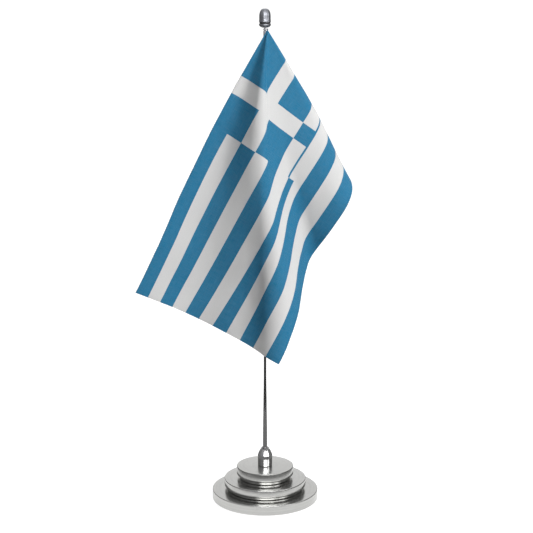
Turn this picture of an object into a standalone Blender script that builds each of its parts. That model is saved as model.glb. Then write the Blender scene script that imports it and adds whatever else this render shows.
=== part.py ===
"""Desk flag stand: a stacked round base, a slender tapered pole with a screwed finial, and a hanging flag.

Metres, +Z up. The origin is the centre of the underside and +Z runs up the pole.
"""
import math

import bmesh
import bpy
import numpy as np
from mathutils import Euler, Matrix, Vector

# --- driving dimensions -------------------------------------------------------------------------
GAP = 0.0003                    # between faces that touch
RUNNING = 0.0001                # radial clearance of a sliding fit

FELT_RADIUS, FELT_TOP = 0.0440, 0.0008
LOWER_RADIUS, LOWER_TOP = 0.0471, 0.0098
MIDDLE_RADIUS, MIDDLE_TOP = 0.03635, 0.0198
UPPER_RADIUS, UPPER_TOP = 0.02525, 0.0311
UNDERCUT = 0.0026               # how far a tier's neck stands in from its rim
NECK_SHARE = 0.22               # share of a tier's height that its neck takes
RIM_UNDERSIDE = 0.0018          # height of the rim's rounded underside
EDGE_ROUND = 0.0007

BOLT_RADIUS = 0.0020
BOLT_BORE = BOLT_RADIUS + GAP
BOLT_TIP = 0.0345
BOLT_HEAD_RADIUS, BOLT_HEAD_BOTTOM, BOLT_HEAD_TOP = 0.0038, 0.0016, 0.0036
WASHER_RADIUS = 0.0050
SPRING_WASHER = (0.0039, 0.0045)
FLAT_WASHER = (0.0048, 0.0052)
BALLAST_RADIUS = 0.0340
BALLAST_BOTTOM, BALLAST_WEB, BALLAST_TOP = 0.0012, 0.0055, 0.0067

SOCKET_RADIUS, SOCKET_MOUTH_RADIUS = 0.00645, 0.0037
SOCKET_SHOULDER, SOCKET_TOP = 0.0408, 0.0468
POLE_FOOT_RADIUS, POLE_FOOT = 0.0019, 0.0366
BUSH_BORE = POLE_FOOT_RADIUS + RUNNING
BUSH_RADIUS = 0.00265
SOCKET_BORE = BUSH_RADIUS + RUNNING

POLE_RADIUS, TAPER_START, TAPER_END = 0.0011, 0.0500, 0.1250
FERRULE_RADIUS, FERRULE_BOTTOM, FERRULE_TOP = 0.00135, 0.3853, 0.4200
NECK_RADIUS, NECK_BOTTOM = 0.0010, 0.4176

FINIAL_RADIUS = 0.00505
COLLAR_BOTTOM, COLLAR_TOP = 0.4203, 0.4236
CLAMP_RADIUS, CLAMP_TOP = 0.0047, 0.4246
CAP_BOTTOM, CAP_SHOULDER, CAP_TOP = 0.4249, 0.4299, 0.4361
STUD_RADIUS, STUD_TOP = 0.0012, 0.4322
FLUTES, FLUTE_DEPTH = 12, 0.00016

FLAG_LENGTH, FLAG_DROP = 0.250, 0.150
CLOTH_THICKNESS = 0.0006
TIP = Vector((0.0021, -0.0020, 0.4188))
CORNER_TRIM = 0.005             # cloth missing at the corner, where the tab binds it
LOOP_CORD_RADIUS = 0.0002
EYELET_RADIUS, EYELET_WIRE = 0.00075, 0.0002

# The cloth hangs from its corner as a fold fan. Each ruling leaves the corner at one angle of the flat
# flag (0 along the top edge, 90 down the hoist). Headings say which way the fan runs from one ruling to
# the next: 0 is sideways, + towards the front. The outer cloth has its own, deeper folds, and the top
# edge swings out further close to the corner than at its far end.
INNER_TOP_SWING, OUTER_TOP_SWING, TOP_EDGE_LEAD = (math.radians(turn) for turn in (-30.0, -27.0, 6.5))
RULING_ANGLES = (0, 8, 13, 18, 23, 28, 33, 38, 44, 48, 52, 57, 64, 72, 76, 90)
INNER_HEADINGS = (-50, 0, 25, 30, 30, -20, -75, -35, -30, -30, -25, -30, -20, -70, -165, -165)
OUTER_HEADINGS = (-35, -30, -15, 0, 0, 30, -40, -65, -55, 20, 10, 0, -65, -135, -165, -165)
INNER_REACH, OUTER_REACH = 0.040, 0.240
CLOTH_COLUMNS_TOP, CLOTH_COLUMNS_SIDE, CLOTH_ROWS = 16, 34, 12


# --- helpers ------------------------------------------------------------------------------------
def clear_scene():
    """Remove whatever the file holds, so that the part stands alone."""
    for old in list(bpy.data.objects):
        bpy.data.objects.remove(old, do_unlink=True)


def finish(name, colour, roughness, metallic):
    """Return one Principled material."""
    material = bpy.data.materials.new(name)
    material.use_nodes = True
    shader = material.node_tree.nodes["Principled BSDF"]
    shader.inputs["Base Color"].default_value = (*colour, 1.0)
    shader.inputs["Roughness"].default_value = roughness
    shader.inputs["Metallic"].default_value = metallic
    return material


def add_object(name, bm, material, parent=None):
    """Turn a bmesh into a named object, parented without moving it."""
    mesh = bpy.data.meshes.new(name)
    bmesh.ops.recalc_face_normals(bm, faces=bm.faces)
    bm.to_mesh(mesh)
    bm.free()
    mesh.materials.append(material)
    mesh.shade_smooth()
    mesh.set_sharp_from_angle(angle=math.radians(35))
    made = bpy.data.objects.new(name, mesh)
    bpy.context.collection.objects.link(made)
    if parent is not None:
        made.parent = parent
        made.matrix_parent_inverse = Matrix.Translation(parent.location).inverted()
    return made


def joint_empty(name, place, parent=None):
    """Return an empty that stands on a joint's axis."""
    empty = bpy.data.objects.new(name, None)
    empty.empty_display_size = 0.01
    empty.location = place
    bpy.context.collection.objects.link(empty)
    if parent is not None:
        empty.parent = parent
        empty.matrix_parent_inverse = Matrix.Translation(parent.location).inverted()
    return empty


def spun(outline, steps, closed):
    """Turn an outline of (radius, height) points about the Z axis into one closed body."""
    bm = bmesh.new()
    verts = [bm.verts.new((radius, 0.0, height)) for radius, height in outline]
    edges = [bm.edges.new(pair) for pair in zip(verts, verts[1:])]
    if closed:
        edges.append(bm.edges.new((verts[-1], verts[0])))
    bmesh.ops.spin(bm, geom=verts + edges, cent=(0, 0, 0), axis=(0, 0, 1), angle=2 * math.pi,
                   steps=steps, use_merge=True)
    bmesh.ops.remove_doubles(bm, verts=bm.verts, dist=1e-7)
    return bm


def turned(name, outline, material, parent=None, steps=48):
    """A solid of revolution. An outline that starts on the axis is open, any other one is a ring's."""
    return add_object(name, spun(outline, steps, closed=outline[0][0] > 0), material, parent)


def rounded_rim(radius, top, round_radius, points=4):
    """The (radius, height) points of a rim's rounded upper edge, from the side to the top."""
    angles = [math.pi / 2 * i / (points - 1) for i in range(points)]
    return [(radius - round_radius * (1 - math.cos(a)), top - round_radius * (1 - math.sin(a)))
            for a in angles]


# --- base ---------------------------------------------------------------------------------------
def tier(name, radius, bottom, top, material):
    """An upper disc of the base: a rim with a rounded underside over a recessed neck, bored for the bolt."""
    neck = radius - UNDERCUT
    neck_top = bottom + (top - bottom) * NECK_SHARE
    outline = [(BOLT_BORE, bottom), (neck, bottom), (neck, neck_top)]
    underside_points = 4
    for i in range(1, underside_points + 1):
        angle = math.pi / 2 * i / underside_points
        outline.append((neck + UNDERCUT * math.sin(angle), neck_top + RIM_UNDERSIDE * (1 - math.cos(angle))))
    outline += rounded_rim(radius, top, EDGE_ROUND)
    outline += [(BOLT_BORE, top)]
    return turned(name, outline, material, steps=64)


def build_base(steel, felt, iron, zinc, chrome):
    """The felt, three discs, ballast, bolt with its washers, and the pole's socket."""
    turned("base_felt_pad", [(0, 0), (FELT_RADIUS, 0), (FELT_RADIUS, FELT_TOP), (0, FELT_TOP)], felt,
           steps=64)
    recess = BALLAST_RADIUS + GAP
    recess_top = BALLAST_TOP + GAP
    bottom = FELT_TOP + GAP
    lower = [(BOLT_BORE, recess_top), (recess, recess_top), (recess, bottom),
             (LOWER_RADIUS - EDGE_ROUND, bottom), (LOWER_RADIUS, bottom + EDGE_ROUND)]
    lower += rounded_rim(LOWER_RADIUS, LOWER_TOP, EDGE_ROUND)
    lower += [(BOLT_BORE, LOWER_TOP)]
    turned("base_lower_tier", lower, steel, steps=64)
    tier("base_middle_tier", MIDDLE_RADIUS, LOWER_TOP + GAP, MIDDLE_TOP, steel)
    tier("base_top_tier", UPPER_RADIUS, MIDDLE_TOP + GAP, UPPER_TOP, steel)

    counterbore = WASHER_RADIUS + GAP
    turned("ballast_disc", [(BOLT_BORE, BALLAST_TOP), (BOLT_BORE, BALLAST_WEB),
                            (counterbore, BALLAST_WEB), (counterbore, BALLAST_BOTTOM),
                            (BALLAST_RADIUS, BALLAST_BOTTOM), (BALLAST_RADIUS, BALLAST_TOP)], iron)
    for name, (low, high) in (("spring_washer", SPRING_WASHER), ("flat_washer", FLAT_WASHER)):
        turned(name, [(BOLT_BORE, low), (WASHER_RADIUS, low), (WASHER_RADIUS, high), (BOLT_BORE, high)],
               zinc, steps=32)
    turned("centre_bolt", [(0, BOLT_HEAD_BOTTOM), (BOLT_HEAD_RADIUS, BOLT_HEAD_BOTTOM),
                           (BOLT_HEAD_RADIUS, BOLT_HEAD_TOP), (BOLT_RADIUS, BOLT_HEAD_TOP),
                           (BOLT_RADIUS, BOLT_TIP), (0, BOLT_TIP)], zinc, steps=24)

    foot = UPPER_TOP + GAP
    turned("pole_socket", [(0, BOLT_TIP + 2 * GAP), (BOLT_BORE, BOLT_TIP + 2 * GAP), (BOLT_BORE, foot),
                           (SOCKET_RADIUS, foot), (SOCKET_RADIUS, SOCKET_SHOULDER - EDGE_ROUND),
                           (SOCKET_RADIUS - EDGE_ROUND / 4, SOCKET_SHOULDER),
                           (SOCKET_MOUTH_RADIUS + EDGE_ROUND / 2, SOCKET_TOP - EDGE_ROUND / 2),
                           (SOCKET_MOUTH_RADIUS, SOCKET_TOP), (SOCKET_BORE, SOCKET_TOP),
                           (SOCKET_BORE, POLE_FOOT - 2 * GAP), (0, POLE_FOOT - 2 * GAP)], chrome)


# --- pole and finial ----------------------------------------------------------------------------
def build_bush(nylon, axis):
    """The nylon liner that the pole turns and slides in, with a lip over the socket's mouth."""
    lip_bottom = SOCKET_TOP + GAP
    turned("grip_bush", [(BUSH_BORE, POLE_FOOT - GAP), (BUSH_RADIUS, POLE_FOOT - GAP),
                         (BUSH_RADIUS, lip_bottom), (SOCKET_MOUTH_RADIUS - EDGE_ROUND / 2, lip_bottom),
                         (SOCKET_MOUTH_RADIUS - EDGE_ROUND / 2, lip_bottom + EDGE_ROUND),
                         (BUSH_BORE, lip_bottom + EDGE_ROUND)], nylon, axis, steps=32)


def build_pole(chrome, steel, axis):
    """The tapered rod, the ferrule with its grooved neck, the collar and the stud above it."""
    turned("pole_rod", [(0, POLE_FOOT), (POLE_FOOT_RADIUS, POLE_FOOT), (POLE_FOOT_RADIUS, TAPER_START),
                        (POLE_RADIUS, TAPER_END), (POLE_RADIUS, FERRULE_BOTTOM - GAP),
                        (0, FERRULE_BOTTOM - GAP)], chrome, axis, steps=32)
    turned("pole_ferrule", [(0, FERRULE_BOTTOM), (FERRULE_RADIUS, FERRULE_BOTTOM),
                            (FERRULE_RADIUS, NECK_BOTTOM - GAP), (NECK_RADIUS, NECK_BOTTOM),
                            (NECK_RADIUS, FERRULE_TOP), (0, FERRULE_TOP)], chrome, axis, steps=32)
    turned("finial_collar", [(0, COLLAR_BOTTOM), (0.0023, COLLAR_BOTTOM), (0.0044, 0.4216),
                             (FINIAL_RADIUS, 0.4223), (FINIAL_RADIUS, COLLAR_TOP - GAP),
                             (CLAMP_RADIUS, COLLAR_TOP), (0, COLLAR_TOP)], steel, axis)
    turned("finial_stud", [(0, COLLAR_TOP + GAP), (STUD_RADIUS, COLLAR_TOP + GAP),
                           (STUD_RADIUS, STUD_TOP), (0, STUD_TOP)], chrome, axis, steps=24)


def build_clamp(rubber, axis):
    """The washer that the cap carries up and down the stud."""
    bottom = COLLAR_TOP + GAP
    turned("clamp_washer", [(STUD_RADIUS + GAP, bottom), (CLAMP_RADIUS, bottom),
                            (CLAMP_RADIUS, CLAMP_TOP), (STUD_RADIUS + GAP, CLAMP_TOP)], rubber, axis)


def build_cap(steel, axis):
    """The fluted cap: a short barrel with a flattened dome, bored for the stud."""
    bore = STUD_RADIUS + RUNNING * 1.5
    bore_top = STUD_TOP + 2 * GAP
    outline = [(0, bore_top), (bore, bore_top), (bore, CAP_BOTTOM), (FINIAL_RADIUS, CAP_BOTTOM)]
    dome_height = CAP_TOP - CAP_SHOULDER
    roundness, crown = 1.9, FINIAL_RADIUS * 0.3
    for share in (0.0, 0.25, 0.45, 0.62, 0.76, 0.87, 0.95, 1.0):
        radius = crown + (FINIAL_RADIUS - crown) * (1 - share ** roundness) ** (1 / roundness)
        outline.append((radius, CAP_SHOULDER + dome_height * share))
    outline.append((0, CAP_TOP))
    bm = spun(outline, steps=FLUTES * 6, closed=False)
    for vert in bm.verts:
        radius = math.hypot(vert.co.x, vert.co.y)
        if radius > FINIAL_RADIUS * 0.5 and vert.co.z > CAP_BOTTOM + GAP:
            wave = 0.5 - 0.5 * math.cos(FLUTES * math.atan2(vert.co.y, vert.co.x))
            vert.co.xy *= (radius - FLUTE_DEPTH * wave) / radius
    add_object("finial_cap", bm, steel, axis)


# --- flag ---------------------------------------------------------------------------------------
def fan(headings, top_swing):
    """Integrate one set of headings into swing and lead angles, at each half degree of the flat flag."""
    steps = np.radians(np.arange(0.0, 90.01, 0.5))
    heading = np.radians(np.interp(np.degrees(steps), RULING_ANGLES, headings))
    swing, lead = [top_swing], [TOP_EDGE_LEAD]
    for step, before, after in zip(np.diff(steps), heading, heading[1:]):
        way = (before + after) / 2
        middle = lead[-1] + math.sin(way) * step / 2
        swing.append(swing[-1] + math.cos(way) * step / math.cos(middle))
        lead.append(lead[-1] + math.sin(way) * step)
    return steps, np.array(swing), np.array(lead)


INNER_FAN = fan(INNER_HEADINGS, INNER_TOP_SWING)
OUTER_FAN = fan(OUTER_HEADINGS, OUTER_TOP_SWING)


def hung(reach, angle):
    """Where the flat flag's point at this reach and angle from the corner hangs."""
    blend = min(max((reach - INNER_REACH) / (OUTER_REACH - INNER_REACH), 0.0), 1.0)
    blend = blend * blend * (3 - 2 * blend)
    swing, lead = ((1 - blend) * np.interp(angle, INNER_FAN[0], inner)
                   + blend * np.interp(angle, OUTER_FAN[0], outer)
                   for inner, outer in zip(INNER_FAN[1:], OUTER_FAN[1:]))
    way = Vector((math.sin(swing) * math.cos(lead), -math.sin(lead), -math.cos(swing) * math.cos(lead)))
    return TIP + reach * way


def build_cloth(fabric, axis):
    """The flag: a fan of rulings from the tip, thickened, and thinner where the folds crowd together."""
    columns = CLOTH_COLUMNS_TOP + CLOTH_COLUMNS_SIDE
    corner = math.atan2(FLAG_DROP, FLAG_LENGTH)
    bm = bmesh.new()
    bmesh.ops.create_grid(bm, x_segments=columns, y_segments=CLOTH_ROWS, size=0.5)
    reaches = []
    for vert in bm.verts:
        column, row = (vert.co.x + 0.5) * columns, vert.co.y + 0.5
        if column <= CLOTH_COLUMNS_TOP:
            angle = corner * column / CLOTH_COLUMNS_TOP
            edge = FLAG_LENGTH / math.cos(angle)
        else:
            angle = corner + (math.pi / 2 - corner) * (column - CLOTH_COLUMNS_TOP) / CLOTH_COLUMNS_SIDE
            edge = FLAG_DROP / math.sin(angle)
        reach = CORNER_TRIM + (edge - CORNER_TRIM) * row
        reaches.append(reach)
        vert.co = hung(reach, angle)
    cloth = add_object("flag_cloth", bm, fabric, axis)
    full_from = 0.020
    group = cloth.vertex_groups.new(name="thickness")
    for index, reach in enumerate(reaches):
        group.add([index], min(1.0, reach / full_from), "REPLACE")
    solidify = cloth.modifiers.new("thickness", "SOLIDIFY")
    solidify.thickness = CLOTH_THICKNESS
    solidify.offset = 0.0
    solidify.vertex_group = group.name


def ring(name, place, major, minor, turn, material, parent, segments):
    """A plain round ring of wire or cord."""
    bpy.ops.mesh.primitive_torus_add(major_radius=major, minor_radius=minor, major_segments=segments,
                                     minor_segments=8)
    made = bpy.context.object
    made.name = made.data.name = name
    made.data.materials.append(material)
    made.data.transform(Matrix.Translation(place) @ turn.to_matrix().to_4x4())
    made.parent = parent
    made.matrix_parent_inverse = Matrix.Translation(parent.location).inverted()


def build_loop(cord, axis):
    """The cord loop, in the neck's groove on its far side and through the eyelet on its near side."""
    tip_out = TIP.xy.length
    far_side = NECK_RADIUS + GAP + LOOP_CORD_RADIUS
    radius = (tip_out + far_side) / 2
    centre = TIP.xy.normalized() * (tip_out - radius)
    ring("hanging_loop", Vector((*centre, TIP.z)), radius, LOOP_CORD_RADIUS, Euler((0, 0, 0)), cord,
         axis, segments=32)


def build_corner(brass, fabric, axis):
    """The eyelet that rides on the loop and the sewn tab that binds the flag's corner to it."""
    out = math.atan2(TIP.y, TIP.x)
    ring("corner_eyelet", TIP, EYELET_RADIUS, EYELET_WIRE, Euler((math.pi / 2, 0, out)), brass, axis,
         segments=24)
    top = EYELET_RADIUS + EYELET_WIRE + GAP
    depth = CORNER_TRIM - GAP - top
    bm = bmesh.new()
    bmesh.ops.create_cone(bm, cap_ends=True, segments=16, radius1=0.0012, radius2=0.0005, depth=depth)
    bmesh.ops.scale(bm, vec=(1.0, 0.45, 1.0), verts=bm.verts)
    bmesh.ops.translate(bm, vec=TIP - Vector((0, 0, top + depth / 2)), verts=bm.verts)
    add_object("corner_tab", bm, fabric, axis)


# --- assembly -----------------------------------------------------------------------------------
def main():
    clear_scene()
    steel = finish("brushed_steel", (0.62, 0.61, 0.59), 0.32, 1.0)
    chrome = finish("polished_chrome", (0.70, 0.70, 0.70), 0.08, 1.0)
    grey = finish("dulled_finial", (0.30, 0.31, 0.32), 0.38, 1.0)
    felt = finish("black_felt", (0.03, 0.03, 0.03), 0.95, 0.0)
    iron = finish("ballast_iron", (0.12, 0.12, 0.12), 0.60, 1.0)
    zinc = finish("zinc_plate", (0.55, 0.56, 0.58), 0.35, 1.0)
    nylon = finish("dark_nylon", (0.05, 0.05, 0.05), 0.45, 0.0)
    rubber = finish("dark_washer", (0.06, 0.06, 0.065), 0.55, 0.0)
    cord = finish("white_cord", (0.80, 0.80, 0.78), 0.80, 0.0)
    brass = finish("plated_eyelet", (0.66, 0.65, 0.62), 0.25, 1.0)
    fabric = finish("flag_fabric", (0.25, 0.45, 0.62), 0.60, 0.0)

    turn_axis = joint_empty("pole_turn_axis", (0, 0, SOCKET_TOP))
    lift_axis = joint_empty("pole_lift_axis", (0, 0, POLE_FOOT), turn_axis)
    rise_axis = joint_empty("cap_rise_axis", (0, 0, COLLAR_TOP), lift_axis)
    cap_axis = joint_empty("cap_turn_axis", (0, 0, CAP_BOTTOM), rise_axis)
    loop_axis = joint_empty("flag_turn_axis", (0, 0, TIP.z), lift_axis)
    swing_axis = joint_empty("flag_swing_axis", TIP, loop_axis)
    bpy.context.view_layer.update()

    build_base(steel, felt, iron, zinc, chrome)
    build_bush(nylon, turn_axis)
    build_pole(chrome, grey, lift_axis)
    build_clamp(rubber, rise_axis)
    build_cap(grey, cap_axis)
    build_loop(cord, loop_axis)
    build_corner(brass, fabric, swing_axis)
    build_cloth(fabric, swing_axis)


main()
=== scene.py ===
"""Desk flag stand: the finished look of each piece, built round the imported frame.

Metres, +Z up the pole, the front of the flag towards -Y.
"""
import enum
import functools
import logging
import math
from dataclasses import dataclass, field
from typing import Callable, Iterable, Sequence

import bmesh
import bpy
import numpy as np
from mathutils import Euler, Matrix, Vector, noise


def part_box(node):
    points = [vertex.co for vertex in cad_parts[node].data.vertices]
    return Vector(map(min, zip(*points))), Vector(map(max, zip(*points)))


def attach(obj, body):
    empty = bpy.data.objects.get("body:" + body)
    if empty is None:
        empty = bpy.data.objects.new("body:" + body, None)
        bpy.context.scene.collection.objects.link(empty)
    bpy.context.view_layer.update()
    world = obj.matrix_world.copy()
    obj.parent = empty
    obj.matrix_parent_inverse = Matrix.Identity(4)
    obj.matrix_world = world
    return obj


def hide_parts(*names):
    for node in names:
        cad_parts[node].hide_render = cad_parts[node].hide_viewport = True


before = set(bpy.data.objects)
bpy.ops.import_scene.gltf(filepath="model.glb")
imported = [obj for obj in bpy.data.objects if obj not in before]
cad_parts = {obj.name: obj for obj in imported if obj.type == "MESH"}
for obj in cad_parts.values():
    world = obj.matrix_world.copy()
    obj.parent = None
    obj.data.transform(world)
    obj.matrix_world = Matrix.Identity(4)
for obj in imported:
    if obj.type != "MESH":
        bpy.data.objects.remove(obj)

LOG = logging.getLogger("desk_flag_stand")
MM = 0.001

Point = tuple[float, float]
Socket = bpy.types.NodeSocket
Colour = tuple[float, float, float]


# --- shader nodes -------------------------------------------------------------------------------
class Net:
    """A node tree with short calls for the nodes that the finishes use."""

    def __init__(self, tree: bpy.types.NodeTree) -> None:
        """Wrap a tree.

        Args:
            tree: the node tree to add to.
        """
        self.tree = tree

    def add(self, kind: str, inputs: dict[str | int, object] | None = None,
            **settings: object) -> bpy.types.Node:
        """Add a node.

        Args:
            kind: the node's type name.
            inputs: what goes to its sockets, a socket to link or a plain value.
            settings: the node's own properties.

        Returns:
            The node.
        """
        node = self.tree.nodes.new(kind)
        for key, value in settings.items():
            setattr(node, key, value)
        self.fill(node, inputs or {})
        return node

    def fill(self, node: bpy.types.Node, inputs: dict[str | int, object]) -> None:
        """Feed several of a node's inputs, by their names or numbers."""
        for key, value in inputs.items():
            self.feed(node.inputs[key], value)

    def feed(self, socket: Socket, value: object) -> None:
        """Link a socket, or set its plain value.

        Args:
            socket: the input.
            value: an output socket, a number, a vector or a colour.
        """
        if isinstance(value, bpy.types.NodeSocket):
            self.tree.links.new(value, socket)
        else:
            socket.default_value = value

    def math(self, operation: str, *values: object, clamp: bool = False) -> Socket:
        """A Math node's result, from its one, two or three inputs, kept between 0 and 1 if asked."""
        return self.add("ShaderNodeMath", dict(enumerate(values)), operation=operation,
                        use_clamp=clamp).outputs[0]

    def plus(self, first: object, second: object) -> Socket:
        """The sum of two values."""
        return self.math("ADD", first, second)

    def times(self, first: object, second: object) -> Socket:
        """The product of two values."""
        return self.math("MULTIPLY", first, second)

    def between(self, value: object, low: float, high: float) -> Socket:
        """A mask that is 1 where a value lies between two limits."""
        return self.times(self.math("GREATER_THAN", value, low), self.math("LESS_THAN", value, high))

    def either(self, *masks: Socket) -> Socket:
        """The largest of several masks."""
        return functools.reduce(lambda first, second: self.math("MAXIMUM", first, second), masks)

    def noise(self, vector: object, scale: object, detail: float = 2.0, roughness: float = 0.5) -> Socket:
        """A Noise texture's value: how fine it is, how many finer layers it has and how strong they are."""
        return self.add("ShaderNodeTexNoise", {"Vector": vector, "Scale": scale, "Detail": detail,
                                               "Roughness": roughness}).outputs[0]

    def remap(self, value: object, low: float, high: float, to_low: float, to_high: float,
              smooth: bool = False) -> Socket:
        """A clamped Map Range node's result, from one range to another, eased in and out if smooth."""
        return self.add("ShaderNodeMapRange", {0: value, 1: low, 2: high, 3: to_low, 4: to_high},
                        interpolation_type="SMOOTHSTEP" if smooth else "LINEAR").outputs[0]

    def mix(self, share: object, first: object, second: object, blend: str = "MIX") -> Socket:
        """Two colours mixed, by how much of the second shows."""
        return self.add("ShaderNodeMix", {0: share, 6: first, 7: second}, data_type="RGBA",
                        blend_type=blend).outputs[2]

    def choose(self, share: object, first: object, second: object) -> Socket:
        """Two values mixed, by how much of the second shows."""
        return self.add("ShaderNodeMix", {0: share, 2: first, 3: second}, data_type="FLOAT").outputs[0]

    def split(self, vector: object) -> tuple[Socket, Socket, Socket]:
        """The three parts of a vector."""
        return tuple(self.add("ShaderNodeSeparateXYZ", {0: vector}).outputs)

    def join(self, x: object = 0.0, y: object = 0.0, z: object = 0.0) -> Socket:
        """A vector from its three parts."""
        return self.add("ShaderNodeCombineXYZ", {0: x, 1: y, 2: z}).outputs[0]

    def bump(self, height: object, distance: float, strength: float = 1.0) -> Socket:
        """The normal bent by a height from 0 to 1, where 1 stands for a distance in metres."""
        return self.add("ShaderNodeBump", {"Height": height, "Distance": distance,
                                           "Strength": strength}).outputs[0]


@dataclass(frozen=True)
class Effect:
    """A shader node group that several finishes share."""

    name: str
    inputs: tuple[tuple[str, str, float], ...]
    outputs: tuple[tuple[str, str], ...]
    build: Callable[[Net, bpy.types.Node, bpy.types.Node], None]

    def group(self) -> bpy.types.NodeTree:
        """Build the group once.

        Returns:
            The group, made on the first call.
        """
        known = bpy.data.node_groups.get(self.name)
        if known is not None:
            return known
        tree = bpy.data.node_groups.new(self.name, "ShaderNodeTree")
        for label, kind, start in self.inputs:
            made = tree.interface.new_socket(label, in_out="INPUT", socket_type=kind)
            if kind == "NodeSocketFloat":
                made.default_value = start
        for label, kind in self.outputs:
            tree.interface.new_socket(label, in_out="OUTPUT", socket_type=kind)
        source = tree.nodes.new("NodeGroupInput")
        target = tree.nodes.new("NodeGroupOutput")
        self.build(Net(tree), source, target)
        return tree

    def place(self, net: Net, inputs: dict[str, object]) -> bpy.types.Node:
        """Use the group in a material.

        Args:
            net: the material's nodes.
            inputs: what goes to the group's inputs.

        Returns:
            The group's node.
        """
        node = net.add("ShaderNodeGroup", node_tree=self.group())
        net.fill(node, inputs)
        return node


FLOAT, VECTOR = "NodeSocketFloat", "NodeSocketVector"


def build_turning(net: Net, source: bpy.types.Node, target: bpy.types.Node) -> None:
    """Fine rings that a lathe leaves: they follow the radius on a face and the height on a rim.

    Args:
        net: the group's nodes.
        source: its input node.
        target: its output node.
    """
    place = source.outputs["Place"]
    x, y, z = net.split(place)
    radius = net.math("SQRT", net.plus(net.times(x, x), net.times(y, y)))
    along = net.plus(radius, z)
    drift = net.noise(place, 60.0, 2.0)
    along = net.plus(along, net.times(drift, 0.00004))
    fineness = source.outputs["Fineness"]
    fine = net.noise(net.join(net.times(along, fineness)), 1.0, 4.0, 0.65)
    coarseness = net.math("DIVIDE", fineness, 9.0)
    wide = net.noise(net.join(net.times(along, coarseness)), 1.0, 2.0)
    net.fill(target, {"Height": net.remap(fine, 0.25, 0.75, 0.0, 1.0),
                      "Bands": net.remap(wide, 0.3, 0.7, 0.0, 1.0)})


TURNING = Effect("turning_marks", (("Place", VECTOR, 0.0), ("Fineness", FLOAT, 4000.0)),
                 (("Height", FLOAT), ("Bands", FLOAT)), build_turning)


def build_wear(net: Net, source: bpy.types.Node, target: bpy.types.Node) -> None:
    """Small scratches, smears and dust, from three sizes of noise.

    Args:
        net: the group's nodes.
        source: its input node.
        target: its output node.
    """
    place = source.outputs["Place"]
    smear = net.noise(place, source.outputs["Smear size"], 3.0)
    speck = net.add("ShaderNodeTexVoronoi", {"Vector": place, "Scale": 2600.0}, feature="F1").outputs[0]
    stretch = net.add("ShaderNodeMapping", {"Vector": place, "Scale": (1.0, 14.0, 3.0),
                                            "Rotation": (0.3, 0.2, 0.9)}).outputs[0]
    scratch = net.noise(stretch, 260.0, 3.0, 0.7)
    net.fill(target, {"Smear": net.remap(smear, 0.35, 0.75, 0.0, 1.0, smooth=True),
                      "Scratch": net.remap(scratch, 0.66, 0.74, 0.0, 1.0),
                      "Dust": net.remap(speck, 0.08, 0.16, 1.0, 0.0)})


WEAR = Effect("wear_and_dust", (("Place", VECTOR, 0.0), ("Smear size", FLOAT, 90.0)),
              (("Smear", FLOAT), ("Scratch", FLOAT), ("Dust", FLOAT)), build_wear)


def build_weave(net: Net, source: bpy.types.Node, target: bpy.types.Node) -> None:
    """A plain weave: threads both ways that pass over and under each other, with uneven yarn.

    Args:
        net: the group's nodes.
        source: its input node.
        target: its output node.
    """
    u, v, _ = net.split(source.outputs["Flat place"])
    pitch = source.outputs["Pitch"]
    across, down = net.math("DIVIDE", u, pitch), net.math("DIVIDE", v, pitch)
    warp = net.math("ABSOLUTE", net.math("SINE", net.times(across, math.pi)))
    weft = net.math("ABSOLUTE", net.math("SINE", net.times(down, math.pi)))
    cells = net.plus(net.math("FLOOR", across), net.math("FLOOR", down))
    over = net.math("GREATER_THAN", net.math("FRACT", net.times(cells, 0.5)), 0.25)
    top = net.choose(over, warp, weft)
    slub = net.noise(net.join(net.times(u, 2200.0), net.times(v, 120.0)), 1.0, 2.0)
    slub_down = net.noise(net.join(net.times(u, 120.0), net.times(v, 2200.0), 4.0), 1.0, 2.0)
    uneven = net.times(net.plus(slub, slub_down), 0.5)
    net.fill(target, {"Height": net.times(top, net.remap(uneven, 0.3, 0.7, 0.7, 1.0)),
                      "Yarn": net.remap(uneven, 0.35, 0.65, 0.0, 1.0)})


WEAVE = Effect("plain_weave", (("Flat place", VECTOR, 0.0), ("Pitch", FLOAT, 0.0003)),
               (("Height", FLOAT), ("Yarn", FLOAT)), build_weave)


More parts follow.
